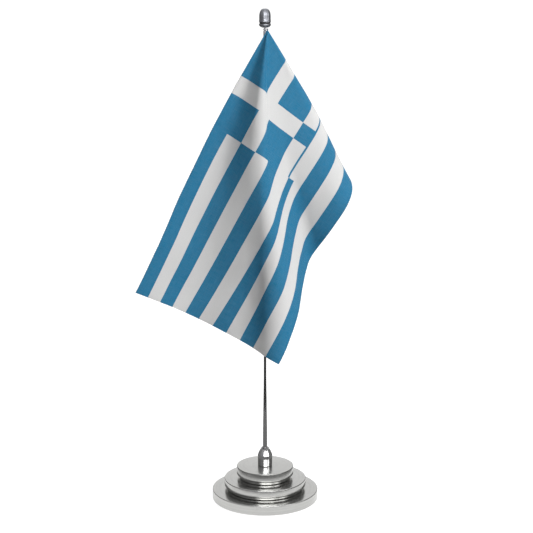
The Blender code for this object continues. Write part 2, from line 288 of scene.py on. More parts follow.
# --- the flag's print ---------------------------------------------------------------------------
@dataclass(frozen=True)
class PrintLayout:
    """The cross and stripes, as shares of the flag's length and of its drop."""

    cross_start: float = 0.1785
    cross_end: float = 0.244
    block_end: float = 0.373
    hoist_row: float = 0.1
    fly_row: float = 1.0 / 11.0
    stub: float = 0.045
    stub_gap: float = 0.055
    line_half_width: float = 0.006
    bleed: float = 0.0012

    def build(self, net: Net, source: bpy.types.Node, target: bpy.types.Node) -> None:
        """The blue share of the print at a place on the flat flag.

        Args:
            net: the group's nodes.
            source: its input node.
            target: its output node.
        """
        flat = source.outputs["Flat share"]
        ragged = net.times(net.math("SUBTRACT", net.noise(flat, 420.0, 2.0), 0.5), self.bleed)
        s, t, _ = net.split(flat)
        s, t = net.plus(s, ragged), net.plus(t, ragged)
        beyond = net.math("GREATER_THAN", s, self.block_end)
        net.fill(target, {"Blue": net.choose(beyond, self.hoist(net, s, t), self.stripes(net, s, t))})

    def stripes(self, net: Net, s: Socket, t: Socket) -> Socket:
        """The eleven stripes: a narrow one under the block that widens to match the rest at the fly.

        Args:
            net: the group's nodes.
            s: the share of the length.
            t: the share of the drop.

        Returns:
            1 where the cloth is blue.
        """
        fly = net.remap(s, self.block_end, 1.0, 0.0, 1.0)

        def width(at_block: float) -> Socket:
            """A row's share of the drop, from the block to the fly."""
            return net.plus(net.times(fly, self.fly_row - at_block), at_block)

        row, stub, gap = width(self.hoist_row), width(self.stub), width(self.stub_gap)
        upper_rows = 6.0
        upper = net.times(row, upper_rows)
        past = net.math("SUBTRACT", t, upper)
        past_stub = net.math("SUBTRACT", past, stub)
        past_gap = net.math("SUBTRACT", past_stub, gap)
        count = net.math("DIVIDE", net.math("MINIMUM", t, upper), row)
        count = net.plus(count, net.math("DIVIDE", past, stub, clamp=True))
        count = net.plus(count, net.math("DIVIDE", past_stub, gap, clamp=True))
        count = net.plus(count, net.math("MAXIMUM", net.math("DIVIDE", past_gap, row), 0.0))
        return net.math("LESS_THAN", net.math("FRACT", net.times(count, 0.5)), 0.5)

    def hoist(self, net: Net, s: Socket, t: Socket) -> Socket:
        """The corner block with its cross, and the rows below it.

        Args:
            net: the group's nodes.
            s: the share of the length.
            t: the share of the drop.

        Returns:
            1 where the cloth is blue.
        """
        row = net.math("DIVIDE", t, self.hoist_row)
        upright = net.between(s, self.cross_start, self.cross_end)
        arm = net.between(row, 2.0, 3.0)
        block = net.math("LESS_THAN", row, 5.0)
        ground = net.times(block, net.math("SUBTRACT", 1.0, net.either(upright, arm)))
        swapped = net.times(upright, net.between(row, 5.0, 6.0))
        half_line = self.line_half_width / self.hoist_row
        line = net.between(row, 6.0 - half_line, 6.0 + half_line)
        return net.either(ground, swapped, line, net.between(row, 7.0, 8.0), net.between(row, 9.0, 10.5))


PRINT = Effect("cross_and_stripes", (("Flat share", VECTOR, 0.0),), (("Blue", FLOAT),),
               PrintLayout().build)


# --- finishes -----------------------------------------------------------------------------------
def fresh_material(name: str) -> tuple[bpy.types.Material, Net, bpy.types.Node]:
    """Start a material.

    Args:
        name: its name.

    Returns:
        The material, its nodes and its Principled shader.
    """
    material = bpy.data.materials.new(name)
    material.use_nodes = True
    return material, Net(material.node_tree), material.node_tree.nodes["Principled BSDF"]


@dataclass(frozen=True)
class Surface:
    """A finish: its material's name, and in each kind of finish how its shader is set."""

    name: str

    def material(self) -> bpy.types.Material:
        """Build the material once.

        Returns:
            The material, made on the first call.
        """
        known = bpy.data.materials.get(self.name)
        if known is not None:
            return known
        material, net, shader = fresh_material(self.name)
        self.dress(net, shader)
        return material

    def dress(self, net: Net, shader: bpy.types.Node) -> None:
        """Set the shader, in the way of this kind of finish."""
        raise NotImplementedError


@dataclass(frozen=True)
class Metal(Surface):
    """A turned or plated metal, with lathe marks, smears, fine scratches and a little dust."""

    colour: Colour
    tint: Colour
    roughness: float
    roughness_spread: float
    mark_depth: float
    fineness: float = 4000.0
    anisotropy: float = 0.0
    dust: float = 0.08
    dust_colour: Colour = (0.55, 0.53, 0.50)

    def dress(self, net: Net, shader: bpy.types.Node) -> None:
        """Set the shader.

        Args:
            net: the material's nodes.
            shader: its Principled shader.
        """
        place = net.add("ShaderNodeTexCoord").outputs["Object"]
        marks = TURNING.place(net, {"Place": place, "Fineness": self.fineness})
        wear = WEAR.place(net, {"Place": place})
        tone = net.mix(marks.outputs["Bands"], (*self.colour, 1.0), (*self.tint, 1.0))
        dusty = net.times(wear.outputs["Dust"], self.dust)
        uneven = net.plus(wear.outputs["Smear"], wear.outputs["Scratch"])
        uneven = net.times(net.plus(uneven, marks.outputs["Height"]), self.roughness_spread)
        net.fill(shader, {"Base Color": net.mix(dusty, tone, (*self.dust_colour, 1.0)), "Metallic": 1.0,
                          "Roughness": net.plus(uneven, self.roughness), "Anisotropic": self.anisotropy,
                          "Normal": net.bump(marks.outputs["Height"], self.mark_depth)})
        if self.anisotropy > 0:
            tangent = net.add("ShaderNodeTangent", direction_type="RADIAL", axis="Z").outputs[0]
            net.fill(shader, {"Tangent": tangent})


@dataclass(frozen=True)
class Matte(Surface):
    """Felt, rubber, nylon or cast iron: a grainy surface with a soft change of tone."""

    colour: Colour
    tint: Colour
    roughness: float
    grain: float
    grain_depth: float
    metallic: float = 0.0
    sheen: float = 0.0

    def dress(self, net: Net, shader: bpy.types.Node) -> None:
        """Set the shader.

        Args:
            net: the material's nodes.
            shader: its Principled shader.
        """
        place = net.add("ShaderNodeTexCoord").outputs["Object"]
        grain = net.noise(place, self.grain, 4.0, 0.65)
        wear = WEAR.place(net, {"Place": place, "Smear size": self.grain / 12})
        worn = net.times(grain, wear.outputs["Smear"])
        rough = net.remap(grain, 0.3, 0.7, self.roughness - 0.08, self.roughness + 0.05)
        net.fill(shader, {"Base Color": net.mix(worn, (*self.colour, 1.0), (*self.tint, 1.0)),
                          "Roughness": rough, "Metallic": self.metallic, "Sheen Weight": self.sheen,
                          "Normal": net.bump(grain, self.grain_depth)})


@dataclass(frozen=True)
class Cloth(Surface):
    """Woven polyester, printed or plain blue."""

    white: Colour = (0.58, 0.58, 0.575)
    blue: Colour = (0.010, 0.148, 0.280)
    printed: bool = True
    pitch: float = 0.42 * MM
    thread_depth: float = 0.09 * MM
    flat: Point = (0.25, 0.15)

    def dress(self, net: Net, shader: bpy.types.Node) -> None:
        """Set the shader.

        Args:
            net: the material's nodes.
            shader: its Principled shader.
        """
        share = net.add("ShaderNodeUVMap", uv_map="flat").outputs[0]
        metres = net.add("ShaderNodeMapping", {"Vector": share, "Scale": (*self.flat, 1.0)}).outputs[0]
        weave = WEAVE.place(net, {"Flat place": metres, "Pitch": self.pitch})
        blue = PRINT.place(net, {"Flat share": share}).outputs[0] if self.printed else 1.0
        ink = net.times(blue, net.remap(weave.outputs["Yarn"], 0.0, 1.0, 0.94, 1.0))
        mottle = net.noise(metres, 240.0, 3.0)
        white = net.mix(mottle, (*[part * 0.97 for part in self.white], 1.0), (*self.white, 1.0))
        dye = net.mix(mottle, (*[part * 0.88 for part in self.blue], 1.0),
                      (*[part * 1.08 for part in self.blue], 1.0))
        # Painted shade and highlight: the colour darkens where the weave dips between threads and lightens
        # a little on the thread tops
        painted_thread_shade = net.remap(weave.outputs["Height"], 0.0, 1.0, 0.90, 1.03)
        cloth = net.mix(1.0, net.mix(ink, white, dye), net.join(painted_thread_shade, painted_thread_shade, painted_thread_shade), "MULTIPLY")
        net.fill(shader, {"Base Color": cloth, "Specular IOR Level": 0.12,
                          "Roughness": net.remap(weave.outputs["Yarn"], 0.0, 1.0, 0.42, 0.52),
                          "Normal": net.bump(weave.outputs["Height"], self.thread_depth, 0.8)})


class Finish(enum.Enum):
    """Every finish on the stand."""

    STEEL = Metal("brushed_steel_lathe", (0.48, 0.48, 0.465), (0.43, 0.43, 0.42), 0.18, 0.06, 0.000003,
                  anisotropy=0.35)
    CHROME = Metal("polished_chrome", (0.74, 0.74, 0.74), (0.70, 0.70, 0.71), 0.035, 0.02, 0.0000006)
    GREY = Metal("dulled_grey_plating", (0.36, 0.37, 0.40), (0.30, 0.31, 0.34), 0.34, 0.10, 0.000006)
    LACQUER = Metal("blue_lacquered_brass", (0.02, 0.14, 0.30), (0.02, 0.11, 0.25), 0.30, 0.06, 0.000002)
    ZINC = Metal("zinc_plate", (0.55, 0.56, 0.58), (0.48, 0.50, 0.55), 0.28, 0.08, 0.000004)
    IRON = Matte("cast_iron", (0.10, 0.10, 0.10), (0.16, 0.15, 0.14), 0.55, 1400.0, 0.00006, metallic=1.0)
    FELT = Matte("black_felt", (0.020, 0.020, 0.021), (0.06, 0.06, 0.06), 0.92, 3200.0, 0.00020, sheen=0.5)
    NYLON = Matte("grey_nylon", (0.14, 0.14, 0.145), (0.20, 0.20, 0.20), 0.36, 2200.0, 0.00001)
    RUBBER = Matte("dark_rubber", (0.035, 0.035, 0.038), (0.06, 0.06, 0.06), 0.55, 2600.0, 0.00002)
    CORD = Matte("white_twine", (0.70, 0.70, 0.68), (0.80, 0.80, 0.78), 0.80, 6000.0, 0.00003, sheen=0.3)
    FLAG = Cloth("printed_polyester")
    BLUE_CLOTH = Cloth("blue_polyester", printed=False)

    def on(self, *objects: bpy.types.Object) -> None:
        """Give the finish to objects, in place of what they have.

        Args:
            objects: the objects to dress.
        """
        for item in objects:
            item.data.materials.clear()
            item.data.materials.append(self.value.material())


# --- mesh helpers -------------------------------------------------------------------------------
def softened(points: Sequence[Point], radius: float, steps: int = 3) -> list[Point]:
    """Round the corners of an open outline.

    Args:
        points: the outline's corners as (radius, height).
        radius: how far from a corner its rounding starts.
        steps: how many points each rounding has, less one.

    Returns:
        The rounded outline, with its first and last points kept.
    """
    result = [tuple(points[0])]
    for before, corner, after in zip(points, points[1:], points[2:]):
        here, last, following = Vector(corner), Vector(before), Vector(after)
        start = here + (last - here).normalized() * min(radius, (last - here).length * 0.45)
        end = here + (following - here).normalized() * min(radius, (following - here).length * 0.45)
        for i in range(steps + 1):
            share = i / steps
            spot = start * (1 - share) ** 2 + here * 2 * share * (1 - share) + end * share ** 2
            result.append((spot.x, spot.y))
    result.append(tuple(points[-1]))
    return result


def spun(outline: Sequence[Point], steps: int) -> bmesh.types.BMesh:
    """Turn an outline about the Z axis: an open one if it starts on the axis, else a ring's.

    Args:
        outline: (radius, height) points.
        steps: how many steps make the full turn.

    Returns:
        The closed body.
    """
    bm = bmesh.new()
    verts = [bm.verts.new((radius, 0.0, height)) for radius, height in outline]
    edges = [bm.edges.new(pair) for pair in zip(verts, verts[1:])]
    if outline[0][0] > 0:
        edges.append(bm.edges.new((verts[-1], verts[0])))
    bmesh.ops.spin(bm, geom=verts + edges, cent=(0, 0, 0), axis=(0, 0, 1), angle=2 * math.pi,
                   steps=steps, use_merge=True)
    bmesh.ops.remove_doubles(bm, verts=bm.verts, dist=1e-7)
    bmesh.ops.recalc_face_normals(bm, faces=bm.faces)
    return bm


def placed(name: str, data: bpy.types.ID) -> bpy.types.Object:
    """Put a new object in the scene.

    Args:
        name: its name.
        data: its mesh, curve, light or camera.

    Returns:
        The object.
    """
    made = bpy.data.objects.new(name, data)
    bpy.context.scene.collection.objects.link(made)
    return made


def smooth_mesh(name: str, bm: bmesh.types.BMesh) -> bpy.types.Mesh:
    """Make a smoothly shaded mesh.

    Args:
        name: its name.
        bm: what it is made of, which is freed.

    Returns:
        The mesh.
    """
    mesh = bpy.data.meshes.new(name)
    bm.to_mesh(mesh)
    bm.free()
    mesh.shade_smooth()
    return mesh


def shown(name: str, bm: bmesh.types.BMesh, finish: Finish, sharp: float = 50.0) -> bpy.types.Object:
    """Make an object of a bmesh and dress it.

    Args:
        name: the piece's name.
        bm: its mesh, which is freed.
        finish: its finish.
        sharp: edges bent more than this many degrees stay crisp.

    Returns:
        The object.
    """
    mesh = smooth_mesh(name, bm)
    mesh.set_sharp_from_angle(angle=math.radians(sharp))
    made = placed(name, mesh)
    finish.on(made)
    return made


def lay_flat(bm: bmesh.types.BMesh, places: dict[int, Point]) -> None:
    """Write down where each point of some cloth lies on the flat flag.

    Args:
        bm: the cloth's mesh.
        places: the shares of the flag's length and drop, for each point's index.
    """
    layer = bm.loops.layers.uv.new("flat")
    for face in bm.faces:
        for loop in face.loops:
            loop[layer].uv = places[loop.vert.index]


def measured(node: str) -> tuple[float, float, float]:
    """A round CAD node's bottom, top and radius."""
    low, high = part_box(node)
    return low[2], high[2], (high[0] - low[0]) / 2


def middle(node: str) -> Vector:
    """The middle of a CAD node's box."""
    low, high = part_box(node)
    return (Vector(low) + Vector(high)) / 2


@dataclass
class SubAssembly:
    """Pieces that ride on one body."""

    body: str
    made: list[bpy.types.Object] = field(default_factory=list)

    def keep(self, piece: bpy.types.Object, slot: str, *replaced: str) -> bpy.types.Object:
        """Put a finished piece on the body and report it.

        Args:
            piece: the piece.
            slot: the record's material slot; not used.
            replaced: the CAD nodes that it stands for.

        Returns:
            The piece.
        """
        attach(piece, self.body)
        if replaced:
            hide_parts(*replaced)
        self.made.append(piece)
        LOG.info("%s rides on %s", piece.name, self.body)
        return piece


# --- base ---------------------------------------------------------------------------------------
@dataclass
class Base(SubAssembly):
    """The felt pad, three turned discs and the fastenings inside them."""

    body: str = "stand"
    undercut: float = 2.6 * MM
    neck_share: float = 0.22
    underside: float = 1.8 * MM
    edge: float = 0.7 * MM
    bore: float = 2.3 * MM
    steps: int = 180

    def build(self) -> None:
        """Build the discs and the felt pad, and dress what stays from the frame."""
        self.pad()
        self.lower()
        self.disc("base_middle_tier")
        self.disc("base_top_tier")
        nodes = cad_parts
        Finish.IRON.on(nodes["ballast_disc"])
        Finish.ZINC.on(nodes["spring_washer"], nodes["flat_washer"], nodes["centre_bolt"])

    def pad(self) -> None:
        """The felt pad, with a slightly rounded rim."""
        bottom, top, radius = measured("base_felt_pad")
        outline = softened([(0, bottom), (radius, bottom), (radius, top), (0, top)], 0.3 * MM)
        self.keep(shown("felt_pad", spun(outline, self.steps), Finish.FELT), "black_felt", "base_felt_pad")

    def lower(self) -> None:
        """The lowest disc, hollowed underneath for the ballast."""
        bottom, top, radius = measured("base_lower_tier")
        _, ballast_top, ballast_radius = measured("ballast_disc")
        gap = 0.3 * MM
        outline = [(self.bore, ballast_top + gap), (ballast_radius + gap, ballast_top + gap),
                   (ballast_radius + gap, bottom), (radius, bottom), (radius, top), (self.bore, top)]
        self.keep(shown("lower_disc", spun(softened(outline, self.edge, 4), self.steps), Finish.STEEL),
                  "brushed_steel", "base_lower_tier")

    def disc(self, node: str) -> None:
        """An upper disc: a rim with a rounded underside over a recessed neck.

        Args:
            node: the CAD node that it stands for.
        """
        bottom, top, radius = measured(node)
        neck = radius - self.undercut
        neck_top = bottom + (top - bottom) * self.neck_share
        outline = [(self.bore, bottom), (neck, bottom), (neck, neck_top)]
        points = 8
        for i in range(1, points + 1):
            turn = math.pi / 2 * i / points
            outline.append((neck + self.undercut * math.sin(turn),
                            neck_top + self.underside * (1 - math.cos(turn))))
        outline += [(radius, top), (self.bore, top)]
        self.keep(shown(node.replace("base_", "").replace("tier", "disc"),
                        spun(softened(outline, self.edge, 4), self.steps), Finish.STEEL),
                  "brushed_steel", node)


@dataclass
class PoleSocket(SubAssembly):
    """The bullet-shaped socket on the top disc."""

    body: str = "stand"
    mouth: float = 3.7 * MM
    bore: float = 2.75 * MM
    cone_share: float = 0.382
    bulge: float = 0.25 * MM
    steps: int = 96

    def build(self) -> None:
        """Build the socket: a straight barrel and a rounded cone to the mouth."""
        bottom, top, radius = measured("pole_socket")
        shoulder = top - (top - bottom) * self.cone_share
        floor = measured("pole_rod")[0] - 0.6 * MM
        outline = [(0, floor - 0.8 * MM), (2.3 * MM, floor - 0.8 * MM), (2.3 * MM, bottom),
                   (radius, bottom), (radius, shoulder)]
        cone_points = 5
        for i in range(1, cone_points + 1):
            share = i / cone_points
            bulge = self.bulge * math.sin(math.pi * share)
            outline.append((radius + (self.mouth - radius) * share + bulge,
                            shoulder + (top - shoulder) * share))
        outline += [(self.bore, top), (self.bore, floor), (0, floor)]
        self.keep(shown("socket_barrel", spun(softened(outline, 0.22 * MM, 3), self.steps), Finish.CHROME),
                  "polished_chrome", "pole_socket")


@dataclass
class Bush(SubAssembly):
    """The liner in the socket's mouth."""

    body: str = "bush"
    bore: float = 2.0 * MM
    wall: float = 2.65 * MM

    def build(self) -> None:
        """Build the liner with its rounded lip."""
        bottom, top, lip = measured("grip_bush")
        lip_bottom = measured("pole_socket")[1] + 0.3 * MM
        outline = [(self.bore, bottom), (self.wall, bottom), (self.wall, lip_bottom), (lip, lip_bottom),
                   (lip, top), (self.bore, top)]
        self.keep(shown("bush_liner", spun(softened(outline, 0.25 * MM), 64), Finish.NYLON),
                  "dark_nylon", "grip_bush")


# --- pole and finial ----------------------------------------------------------------------------
@dataclass
class Pole(SubAssembly):
    """The tapered rod, the ferrule with its neck, and the collar."""

    body: str = "pole"
    rod: float = 1.1 * MM
    taper_start: float = 50.0 * MM
    taper_end: float = 125.0 * MM
    neck: float = 1.0 * MM
    neck_height: float = 2.4 * MM
    steps: int = 64
    scallops: int = 12
    cup: tuple[Point, ...] = ((0.46, 0.0), (0.72, 0.16), (0.90, 0.40), (1.0, 0.60))
    scallop_depth: float = 0.16
    scallop_top: float = 0.62
    solid_share: float = 0.35

    def build(self) -> None:
        """Build the rod, the ferrule and the collar, and dress the stud."""
        bottom, top, foot = measured("pole_rod")
        rod = [(0, bottom), (foot, bottom), (foot, self.taper_start)]
        rod += [(foot + (self.rod - foot) * (0.5 - 0.5 * math.cos(math.pi * i / 12)),
                 self.taper_start + (self.taper_end - self.taper_start) * i / 12) for i in range(1, 13)]
        rod += [(self.rod, top), (0, top)]
        self.keep(shown("rod", spun(softened(rod, 0.2 * MM), self.steps), Finish.CHROME),
                  "polished_chrome", "pole_rod")
        bottom, top, radius = measured("pole_ferrule")
        neck_bottom = top - self.neck_height
        ferrule = [(0, bottom), (radius, bottom), (radius, neck_bottom - 0.3 * MM),
                   (self.neck, neck_bottom), (self.neck, top), (0, top)]
        self.keep(shown("ferrule", spun(softened(ferrule, 0.2 * MM), self.steps), Finish.GREY),
                  "polished_chrome", "pole_ferrule")
        self.collar()
        Finish.CHROME.on(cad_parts["finial_stud"])

    def collar(self) -> None:
        """The collar: a rim over a scalloped cup."""
        bottom, top, radius = measured("finial_collar")
        rise = top - bottom
        outline = [(0, bottom), *((radius * reach, bottom + rise * up) for reach, up in self.cup),
                   (radius, top - 0.3 * MM), (radius - 0.35 * MM, top), (0, top)]
        bm = spun(softened(outline, 0.25 * MM), self.scallops * 12)
        for vert in bm.verts:
            reach = vert.co.xy.length
            below = (bottom + rise * self.scallop_top - vert.co.z) / rise
            if reach > radius * self.solid_share and below > 0:
                wave = 0.5 - 0.5 * math.cos(self.scallops * math.atan2(vert.co.y, vert.co.x))
                vert.co.xy *= 1 - self.scallop_depth * wave * min(1.0, below * 3)
        self.keep(shown("collar_cup", bm, Finish.GREY), "dulled_finial", "finial_collar")


@dataclass
class Clamp(SubAssembly):
    """The dark washer between collar and cap."""

    body: str = "clamp"
    bore: float = 1.5 * MM

    def build(self) -> None:
        """Build the washer with soft edges."""
        bottom, top, radius = measured("clamp_washer")
        outline = [(self.bore, bottom), (radius, bottom), (radius, top), (self.bore, top)]
        self.keep(shown("clamp_ring", spun(softened(outline, 0.15 * MM), 96), Finish.RUBBER),
                  "dark_washer", "clamp_washer")


@dataclass
class Cap(SubAssembly):
    """The fluted cap."""

    body: str = "cap"
    flutes: int = 12
    flute_depth: float = 0.11 * MM
    roundness: float = 1.9
    crown_share: float = 0.3
    dome_share: float = 0.55
    bore: float = 1.35 * MM
    bead: float = 0.9 * MM
    step_in: float = 0.12 * MM
    solid_share: float = 0.30

    def build(self) -> None:
        """Build the cap: a beaded rim, a fluted barrel and a flattened dome."""
        bottom, top, radius = measured("finial_cap")
        bore_top = measured("finial_stud")[1] + 0.6 * MM
        shoulder = top - (top - bottom) * self.dome_share
        outline = [(0, bore_top), (self.bore, bore_top), (self.bore, bottom), (radius, bottom),
                   (radius, bottom + self.bead), (radius - self.step_in, bottom + self.bead * 1.15)]
        rows, barrel, crown = 26, radius - self.step_in, radius * self.crown_share
        for i in range(rows + 1):
            share = i / rows
            reach = crown + (barrel - crown) * (1 - share ** self.roundness) ** (1 / self.roundness)
            outline.append((reach, shoulder + (top - shoulder) * share))
        outline.append((0, top))
        bm = spun(softened(outline, 0.10 * MM, 2), self.flutes * 16)
        for vert in bm.verts:
            reach = vert.co.xy.length
            up = (vert.co.z - bottom - self.bead * 1.1) / (top - bottom)
            if reach > radius * self.solid_share and up > 0:
                wave = abs(math.sin(self.flutes / 2 * math.atan2(vert.co.y, vert.co.x)))
                fade = min(1.0, up * 14) * min(1.0, (reach / radius - self.solid_share) * 3)
                vert.co.xy *= 1 - self.flute_depth * (1 - wave) * fade / reach
        self.keep(shown("fluted_cap", bm, Finish.GREY), "dulled_finial", "finial_cap")


# --- flag ---------------------------------------------------------------------------------------
@dataclass
class Drape:
    """The hanging shape: a fan of rulings from the flag's upper corner.

    A ruling's angle is measured on the flat flag, 0 along the top edge and 90 down the hoist. A heading
    says which way the fan runs from one ruling to the next: 0 is sideways, + towards the front. Close to
    the corner the inner headings hold, at the far edges the outer ones, which fold deeper.
    """

    tip: Vector
    length: float = 0.250
    drop: float = 0.150
    inner_top_swing: float = -30.0
    outer_top_swing: float = -27.0
    top_lead: float = 6.5
    angles: tuple[float, ...] = (0, 8, 13, 18, 23, 28, 33, 38, 44, 48, 52, 57, 64, 72, 76, 90)
    inner: tuple[float, ...] = (-50, 0, 25, 30, 30, -20, -75, -35, -30, -30, -25, -30, -20, -70, -165, -165)
    outer: tuple[float, ...] = (-35, -30, -15, 0, 0, 30, -40, -65, -55, 20, 10, 0, -65, -135, -165, -165)
    inner_reach: float = 0.040
    outer_reach: float = 0.240

    def __post_init__(self) -> None:
        """Integrate both sets of headings."""
        self.fans = [self.fan(self.inner, self.inner_top_swing), self.fan(self.outer, self.outer_top_swing)]

    def fan(self, headings: Sequence[float], top_swing: float) -> tuple[np.ndarray, np.ndarray, np.ndarray]:
        """Integrate headings into swing and lead angles.

        Args:
            headings: one heading for each of the ruling angles, in degrees.
            top_swing: how far the top edge swings out sideways, in degrees.

        Returns:
            The ruling angles, the swings and the leads, in radians.
        """
        steps = np.radians(np.arange(0.0, 90.01, 0.5))
        heading = np.radians(np.interp(np.degrees(steps), self.angles, headings))
        swing, lead = [math.radians(top_swing)], [math.radians(self.top_lead)]
        for step, before, after in zip(np.diff(steps), heading, heading[1:]):
            way = (before + after) / 2
            middle = lead[-1] + math.sin(way) * step / 2
            swing.append(swing[-1] + math.cos(way) * step / math.cos(middle))
            lead.append(lead[-1] + math.sin(way) * step)
        return steps, np.array(swing), np.array(lead)

    def hung(self, reach: float, angle: float) -> Vector:
        """Where a point of the flat flag hangs.

        Args:
            reach: its distance from the upper corner.
            angle: its ruling's angle, in radians.

        Returns:
            The place.
        """
        blend = min(max((reach - self.inner_reach) / (self.outer_reach - self.inner_reach), 0.0), 1.0)
        blend = blend * blend * (3 - 2 * blend)
        near, far = ([np.interp(angle, fan[0], turns) for turns in fan[1:]] for fan in self.fans)
        swing, lead = ((1 - blend) * close + blend * distant for close, distant in zip(near, far))
        return self.tip + reach * Vector((math.sin(swing) * math.cos(lead), -math.sin(lead),
                                          -math.cos(swing) * math.cos(lead)))

    def at(self, along: float, down: float) -> Vector:
        """Where the flat flag's point (along the top edge, down the hoist) hangs."""
        return self.hung(math.hypot(along, down), math.atan2(down, along))

    def facing(self, along: float, down: float) -> Vector:
        """The unit normal there, on the flag's front."""
        step = 0.4 * MM
        right = self.at(along + step, down) - self.at(max(along - step, 0.0), down)
        below = self.at(along, down + step) - self.at(along, max(down - step, 0.0))
        return right.cross(below).normalized()


class Edge(enum.Enum):
    """The four edges of the flat flag, from and to as shares of its length and drop."""

    TOP = ((0.0, 0.0), (1.0, 0.0), (0.0, 1.0))
    FLY = ((1.0, 0.0), (1.0, 1.0), (-1.0, 0.0))
    LOWER = ((1.0, 1.0), (0.0, 1.0), (0.0, -1.0))
    HOIST = ((0.0, 1.0), (0.0, 0.0), (1.0, 0.0))


@dataclass
class Flag(SubAssembly):
    """The printed cloth with its hems and stitches."""

    body: str = "flag"
    drape: Drape | None = None
    thickness: float = 0.24 * MM
    trim: float = 0.7 * MM
    columns_top: int = 70
    columns_side: int = 170
    rows: int = 90
    hem: float = 3.2 * MM
    keep_off: float = 14 * MM
    hem_steps: int = 150
    hem_thickness: float = 0.09 * MM
    stitch_pitch: float = 2.2 * MM
    stitch_inset: float = 2.3 * MM
    stitch_size: tuple[float, float, float] = (0.75 * MM, 0.09 * MM, 0.07 * MM)
    soft_crease: float = 0.9 * MM
    fine_crease: float = 0.18 * MM
    calm_reach: float = 90 * MM

    def build(self) -> None:
        """Build the cloth, its hems and its stitches."""
        cloth = self.keep(self.cloth(), "flag_fabric", "flag_cloth")
        hems = [self.keep(self.hem_on(edge), "flag_fabric") for edge in Edge]
        stitches = self.keep(self.stitches(), "flag_fabric")

    def ripple(self, along: float, down: float) -> float:
        """How far the small creases of handled cloth lift a point.

        Args:
            along: its distance along the top edge.
            down: its distance down the hoist.

        Returns:
            The lift along the normal.
        """
        reach = math.hypot(along, down)
        soft = noise.noise(Vector((along * 28.0, down * 28.0, 3.0)))
        fine = noise.noise(Vector((along * 90.0, down * 70.0, 9.0)))
        return (soft * self.soft_crease + fine * self.fine_crease) * min(1.0, reach / self.calm_reach)

    def cloth(self) -> bpy.types.Object:
        """The sheet itself.

        Returns:
            The object.
        """
        drape = self.drape
        columns = self.columns_top + self.columns_side
        corner = math.atan2(drape.drop, drape.length)
        bm = bmesh.new()
        bmesh.ops.create_grid(bm, x_segments=columns, y_segments=self.rows, size=0.5)
        flat: dict[int, Point] = {}
        reaches: list[float] = []
        for vert in bm.verts:
            column, row = (vert.co.x + 0.5) * columns, vert.co.y + 0.5
            if column <= self.columns_top:
                angle = corner * column / self.columns_top
                edge = drape.length / math.cos(angle)
            else:
                share = (column - self.columns_top) / self.columns_side
                angle = corner + (math.pi / 2 - corner) * share
                edge = drape.drop / math.sin(angle)
            reach = self.trim + (edge - self.trim) * row
            along, down = reach * math.cos(angle), reach * math.sin(angle)
            vert.co = drape.hung(reach, angle) + drape.facing(along, down) * self.ripple(along, down)
            flat[vert.index] = (along / drape.length, down / drape.drop)
            reaches.append(reach)
        lay_flat(bm, flat)
        cloth = shown("flag_sheet", bm, Finish.FLAG, sharp=180.0)
        group = cloth.vertex_groups.new(name="thickness")
        for index, reach in enumerate(reaches):
            group.add([index], min(1.0, reach / (10 * MM)), "REPLACE")
        solidify = cloth.modifiers.new("thickness", "SOLIDIFY")
        solidify.thickness = self.thickness
        solidify.offset = 0.0
        solidify.vertex_group = group.name
        evened = cloth.modifiers.new("evened_normals", "WEIGHTED_NORMAL")
        evened.weight = 90
        return cloth

    def edge_spot(self, edge: Edge, share: float, inset: float) -> Point:
        """A flat place near an edge.

        Args:
            edge: the edge.
            share: how far along it, 0 to 1.
            inset: how far in from it.

        Returns:
            The distance along the top edge and down the hoist.
        """
        start, end, inward = edge.value
        along = (start[0] + (end[0] - start[0]) * share) * self.drape.length + inward[0] * inset
        down = (start[1] + (end[1] - start[1]) * share) * self.drape.drop + inward[1] * inset
        return along, down

    def edge_range(self, edge: Edge) -> tuple[float, float]:
        """The shares of an edge that a hem covers: it stops short of the tip, where the folds crowd."""
        if edge is Edge.TOP:
            return self.keep_off / self.drape.length, 1.0
        if edge is Edge.HOIST:
            return 0.0, 1.0 - self.keep_off / self.drape.drop
        return 0.0, 1.0

    def hem_on(self, edge: Edge) -> bpy.types.Object:
        """The turned-back hem of one edge: flush in front, round the edge and along the back.

        Args:
            edge: the edge.

        Returns:
            The object.
        """
        half = self.thickness / 2 + 0.07 * MM
        section = [(0.30 * MM, half - 0.10 * MM), (0.0, half - 0.08 * MM), (-0.06 * MM, 0.0), (0.0, -half),
                   (1.2 * MM, -half - 0.06 * MM), (self.hem - 0.3 * MM, -half - 0.03 * MM),
                   (self.hem, -half + 0.02 * MM)]
        first, last = self.edge_range(edge)
        across = len(section) - 1
        bm = bmesh.new()
        bmesh.ops.create_grid(bm, x_segments=self.hem_steps, y_segments=across, size=0.5)
        flat: dict[int, Point] = {}
        for vert in bm.verts:
            inset, lift = section[round((vert.co.y + 0.5) * across)]
            share = first + (last - first) * (vert.co.x + 0.5)
            along, down = self.edge_spot(edge, share, max(inset, 0.0))
            outward = Vector((0.0, 0.0, 0.0))
            if inset < 0:
                nearby = self.edge_spot(edge, share, 0.5 * MM)
                outward = (self.drape.at(along, down) - self.drape.at(*nearby)).normalized() * -inset
            lift += self.ripple(along, down)
            vert.co = self.drape.at(along, down) + self.drape.facing(along, down) * lift + outward
            flat[vert.index] = (along / self.drape.length, down / self.drape.drop)
        lay_flat(bm, flat)
        hem = shown(f"hem_{edge.name.lower()}", bm, Finish.FLAG, sharp=35.0)
        solidify = hem.modifiers.new("thickness", "SOLIDIFY")
        solidify.thickness = self.hem_thickness
        solidify.offset = 0.0
        return hem

